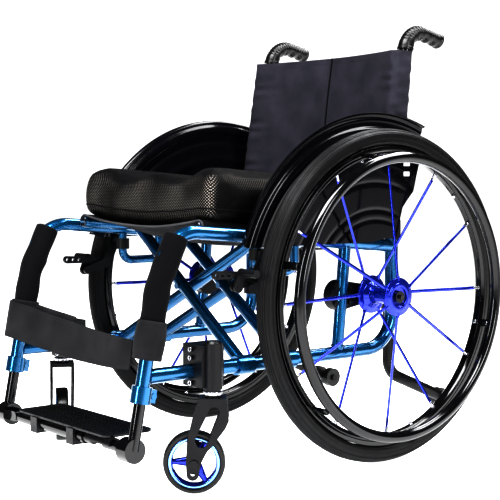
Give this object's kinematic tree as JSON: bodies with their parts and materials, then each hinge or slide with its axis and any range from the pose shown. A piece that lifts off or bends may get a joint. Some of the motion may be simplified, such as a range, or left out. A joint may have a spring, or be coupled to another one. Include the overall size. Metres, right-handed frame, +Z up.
{
  "type": "folding wheelchair",
  "caption": "Sports wheelchair with a folding cross-brace frame, spoked rear wheels with handrims, swivelling front casters, ridged footplate, cushion and sling back.",
  "frame": {"origin": "on the floor below the middle of the bounding box", "axes": "+Z up, -Y the way the user faces, +X the user's left; millimetre source, metres in the row"},
  "size_m": [0.64, 0.8449, 0.8119],
  "materials": {
    "frame_blue": "gloss metallic",
    "royal_blue": "anodised gloss",
    "gloss_black": "gloss",
    "satin_black": "satin",
    "guard_plastic": "gloss",
    "plate_plastic": "matte ridged",
    "tyre": "matte",
    "rubber": "satin",
    "pad_cloth": "soft foam sleeve",
    "steel": "satin",
    "button_black": "gloss",
    "sling_cloth": "woven",
    "cushion_mesh": "air mesh",
    "back_cloth": "woven nylon",
    "strap_cloth": "webbing"
  },
  "bodies": {
    "left_frame": {"seat_rail_l": "frame_blue", "lower_rail_l": "frame_blue", "axle_upright_l": "frame_blue", "leg_clamp_l": "frame_blue", "foot_tube_l": "gloss_black", "leg_pad_l": "pad_cloth", "back_post_l": "satin_black", "push_grip_l": "rubber", "side_guard_l": "guard_plastic", "axle_block_l": "satin_black", "caster_bracket_l": "satin_black", "quick_axle_l": "steel", "brake_body_l": "satin_black", "antitip_tube_l": "satin_black", "back_sling": "back_cloth", "calf_strap": "strap_cloth"},
    "right_frame": {"seat_rail_r": "frame_blue", "lower_rail_r": "frame_blue", "axle_upright_r": "frame_blue", "leg_clamp_r": "frame_blue", "foot_tube_r": "gloss_black", "leg_pad_r": "pad_cloth", "back_post_r": "satin_black", "push_grip_r": "rubber", "side_guard_r": "guard_plastic", "axle_block_r": "satin_black", "caster_bracket_r": "satin_black", "quick_axle_r": "steel", "brake_body_r": "satin_black", "antitip_tube_r": "satin_black"},
    "seat": {"seat_sling": "sling_cloth", "cushion": "cushion_mesh"},
    "left_caster_fork": {"caster_fork_l": "satin_black"},
    "left_caster_wheel": {"caster_rim_l": "royal_blue", "caster_tyre_l": "tyre"},
    "left_rear_wheel": {"rear_tyre_l": "tyre", "rear_rim_l": "gloss_black", "rear_hub_l": "royal_blue", "rear_spokes_l": "royal_blue", "handrim_l": "gloss_black"},
    "left_axle_button": {"axle_button_l": "button_black"},
    "left_brake_lever": {"brake_lever_l": "satin_black"},
    "left_brake_shoe": {"brake_shoe_l": "rubber"},
    "left_antitip_rollers": {"antitip_rollers_l": "rubber"},
    "right_caster_fork": {"caster_fork_r": "satin_black"},
    "right_caster_wheel": {"caster_rim_r": "royal_blue", "caster_tyre_r": "tyre"},
    "right_rear_wheel": {"rear_tyre_r": "tyre", "rear_rim_r": "gloss_black", "rear_hub_r": "royal_blue", "rear_spokes_r": "royal_blue", "handrim_r": "gloss_black"},
    "right_axle_button": {"axle_button_r": "button_black"},
    "right_brake_lever": {"brake_lever_r": "satin_black"},
    "right_brake_shoe": {"brake_shoe_r": "rubber"},
    "right_antitip_rollers": {"antitip_rollers_r": "rubber"},
    "brace_a": {"brace_a": "frame_blue"},
    "brace_b": {"brace_b": "frame_blue"},
    "footrest": {"foot_bar": "satin_black", "footplate": "plate_plastic"}
  },
  "joints": [
    {"name": "frame_fold", "type": "slide", "parent": "left_frame", "child": "right_frame", "axis": [1, 0, 0], "range_m": [0, 0.24], "deforming": ["seat_sling", "cushion", "back_sling", "calf_strap"]},
    {"name": "brace_a_fold", "type": "hinge", "parent": "left_frame", "child": "brace_a", "pos_m": [0.208, -0.12603, 0.2], "axis": [0, 1, 0], "range_deg": [0, 38.4]},
    {"name": "brace_b_fold", "type": "hinge", "parent": "right_frame", "child": "brace_b", "pos_m": [-0.208, -0.10003, 0.2], "axis": [0, -1, 0], "range_deg": [0, 38.4]},
    {"name": "footrest_fold", "type": "hinge", "parent": "right_frame", "child": "footrest", "pos_m": [-0.165, -0.40247, 0.083], "axis": [0, -1, 0], "range_deg": [0, 88.5]},
    {"name": "seat_lift", "type": "slide", "parent": "left_frame", "child": "seat", "axis": [0, 0, 1], "range_m": [0, 0.193]},
    {"name": "left_rear_spin", "type": "hinge", "parent": "left_frame", "child": "left_rear_wheel", "pos_m": [0.265, 0.11747, 0.305], "axis": [1, 0, 0], "continuous": true},
    {"name": "left_caster_swivel", "type": "hinge", "parent": "left_frame", "child": "left_caster_fork", "pos_m": [0.242, -0.26553, 0.2], "axis": [0, 0, 1], "continuous": true},
    {"name": "left_caster_spin", "type": "hinge", "parent": "left_caster_fork", "child": "left_caster_wheel", "pos_m": [0.22249, -0.28962, 0.052], "axis": [-0.7771, 0.6293, 0], "continuous": true},
    {"name": "left_brake_lever", "type": "hinge", "parent": "left_frame", "child": "left_brake_lever", "pos_m": [0.235, -0.16753, 0.352], "axis": [-1, 0, 0], "range_deg": [0, 40]},
    {"name": "left_brake_shoe", "type": "hinge", "parent": "left_frame", "child": "left_brake_shoe", "pos_m": [0.242, -0.21253, 0.338], "axis": [-1, 0, 0], "range_deg": [0, 38]},
    {"name": "left_axle_button", "type": "slide", "parent": "left_frame", "child": "left_axle_button", "axis": [-1, 0, 0], "range_m": [0, 0.003], "stiffness_N_per_m": 200},
    {"name": "left_antitip_spin", "type": "hinge", "parent": "left_frame", "child": "left_antitip_rollers", "pos_m": [0.18, 0.37747, 0.073], "axis": [1, 0, 0], "continuous": true},
    {"name": "right_rear_spin", "type": "hinge", "parent": "right_frame", "child": "right_rear_wheel", "pos_m": [-0.265, 0.11747, 0.305], "axis": [1, 0, 0], "continuous": true},
    {"name": "right_caster_swivel", "type": "hinge", "parent": "right_frame", "child": "right_caster_fork", "pos_m": [-0.242, -0.26553, 0.2], "axis": [0, 0, 1], "continuous": true},
    {"name": "right_caster_spin", "type": "hinge", "parent": "right_caster_fork", "child": "right_caster_wheel", "pos_m": [-0.26911, -0.2505, 0.052], "axis": [0.4848, 0.8746, 0], "continuous": true},
    {"name": "right_brake_lever", "type": "hinge", "parent": "right_frame", "child": "right_brake_lever", "pos_m": [-0.235, -0.16753, 0.352], "axis": [-1, 0, 0], "range_deg": [0, 40]},
    {"name": "right_brake_shoe", "type": "hinge", "parent": "right_frame", "child": "right_brake_shoe", "pos_m": [-0.242, -0.21253, 0.338], "axis": [-1, 0, 0], "range_deg": [0, 38]},
    {"name": "right_axle_button", "type": "slide", "parent": "right_frame", "child": "right_axle_button", "axis": [1, 0, 0], "range_m": [0, 0.003], "stiffness_N_per_m": 200},
    {"name": "right_antitip_spin", "type": "hinge", "parent": "right_frame", "child": "right_antitip_rollers", "pos_m": [-0.18, 0.37747, 0.073], "axis": [1, 0, 0], "continuous": true}
  ],
  "couplings": [
    {"joint": "brace_a_fold", "follows": "frame_fold", "rad_per_m": 2.785},
    {"joint": "brace_b_fold", "follows": "frame_fold", "rad_per_m": 2.785},
    {"joint": "footrest_fold", "follows": "frame_fold", "rad_per_m": 6.4},
    {"joint": "seat_lift", "follows": "frame_fold", "ratio": 0.8},
    {"joint": "left_brake_shoe", "follows": "left_brake_lever", "ratio": 0.95},
    {"joint": "right_brake_shoe", "follows": "right_brake_lever", "ratio": 0.95}
  ]
}
